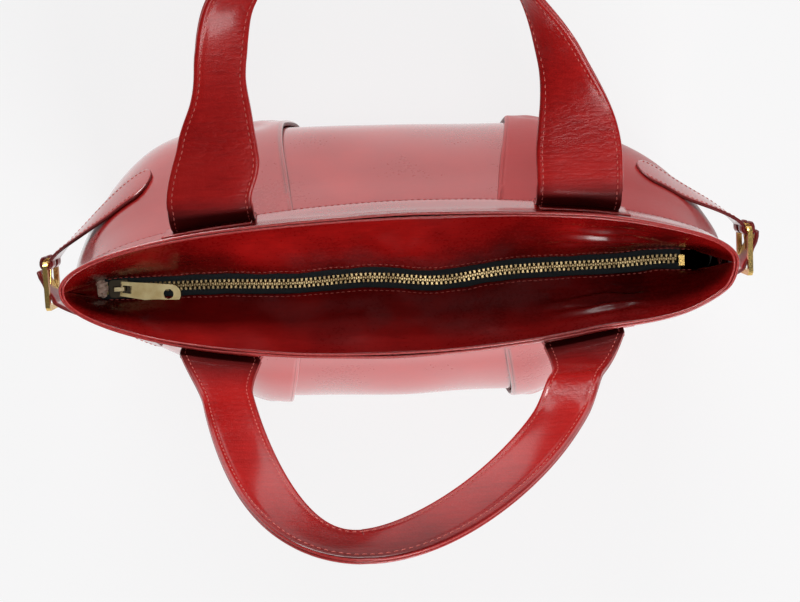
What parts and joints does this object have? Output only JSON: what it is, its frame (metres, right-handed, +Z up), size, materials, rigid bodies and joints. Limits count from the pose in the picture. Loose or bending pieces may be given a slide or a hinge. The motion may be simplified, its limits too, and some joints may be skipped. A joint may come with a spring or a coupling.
{
  "type": "top zip handbag",
  "caption": "Soft leather handbag with a recessed top zip, two loop handles that fold down and a buckled belt at each end.",
  "frame": {"origin": "middle of the base, on the floor", "axes": "+X along the zip from the slider to the closed end, +Y toward the back wall, +Z up"},
  "size_m": [0.3968, 0.2928, 0.3752],
  "materials": {
    "outer_leather": "glossy dark red coated leather",
    "facing_leather": "glossy red coated leather, thinner",
    "lining": "plain dark woven cloth",
    "board": "plain stiff sheet",
    "zip_tape": "dark green-black woven tape",
    "zip_metal": "aged brass",
    "gold_metal": "polished gold plating"
  },
  "bodies": {
    "bag": {"base_panel": "outer_leather", "base_board": "board", "lining_base": "lining", "front_lining": "lining", "back_lining": "lining", "front_center_panel": "outer_leather", "back_center_panel": "outer_leather", "front_left_panel": "outer_leather", "front_right_panel": "outer_leather", "back_left_panel": "outer_leather", "back_right_panel": "outer_leather", "front_band": "outer_leather", "back_band": "outer_leather", "front_facing": "facing_leather", "back_facing": "facing_leather", "front_zip_tape": "zip_tape", "back_zip_tape": "zip_tape", "front_zip_teeth": "zip_metal", "back_zip_teeth": "zip_metal", "zip_top_stops": "zip_metal", "zip_bottom_stop": "zip_metal", "front_left_anchor": "outer_leather", "front_right_anchor": "outer_leather", "back_left_anchor": "outer_leather", "back_right_anchor": "outer_leather", "left_buckle_strap": "outer_leather", "right_buckle_strap": "outer_leather", "left_hole_strap": "outer_leather", "right_hole_strap": "outer_leather", "left_buckle_frame": "gold_metal", "right_buckle_frame": "gold_metal"},
    "slider": {"zip_slider": "zip_metal"},
    "pull": {"zip_pull": "zip_metal"},
    "front_handle": {"front_handle_top": "outer_leather", "front_handle_backing": "outer_leather"},
    "back_handle": {"back_handle_top": "outer_leather", "back_handle_backing": "outer_leather"},
    "left_prong": {"left_buckle_prong": "gold_metal"},
    "right_prong": {"right_buckle_prong": "gold_metal"}
  },
  "joints": [
    {"name": "zip_slide", "type": "slide", "parent": "bag", "child": "slider", "axis": [1, 0, 0], "range_m": [0, 0.24], "deforming": ["front_zip_teeth", "back_zip_teeth"]},
    {"name": "pull_tip", "type": "hinge", "parent": "slider", "child": "pull", "pos_m": [-0.1453, 0, 0.20455], "axis": [-0.1564, -0.9877, 0], "range_deg": [0, 110]},
    {"name": "front_handle_swing", "type": "hinge", "parent": "bag", "child": "front_handle", "pos_m": [0, -0.03581, 0.226], "axis": [-1, 0, 0], "range_deg": [-116, 22]},
    {"name": "back_handle_swing", "type": "hinge", "parent": "bag", "child": "back_handle", "pos_m": [0, 0.03581, 0.226], "axis": [1, 0, 0], "range_deg": [-70, 68]},
    {"name": "left_prong_lift", "type": "hinge", "parent": "bag", "child": "left_prong", "pos_m": [-0.19273, 0.012, 0.16], "axis": [0, 0, -1], "range_deg": [0, 110], "deforming": ["left_hole_strap"]},
    {"name": "right_prong_lift", "type": "hinge", "parent": "bag", "child": "right_prong", "pos_m": [0.19273, 0.012, 0.16], "axis": [0, 0, 1], "range_deg": [0, 110], "deforming": ["right_hole_strap"]}
  ]
}
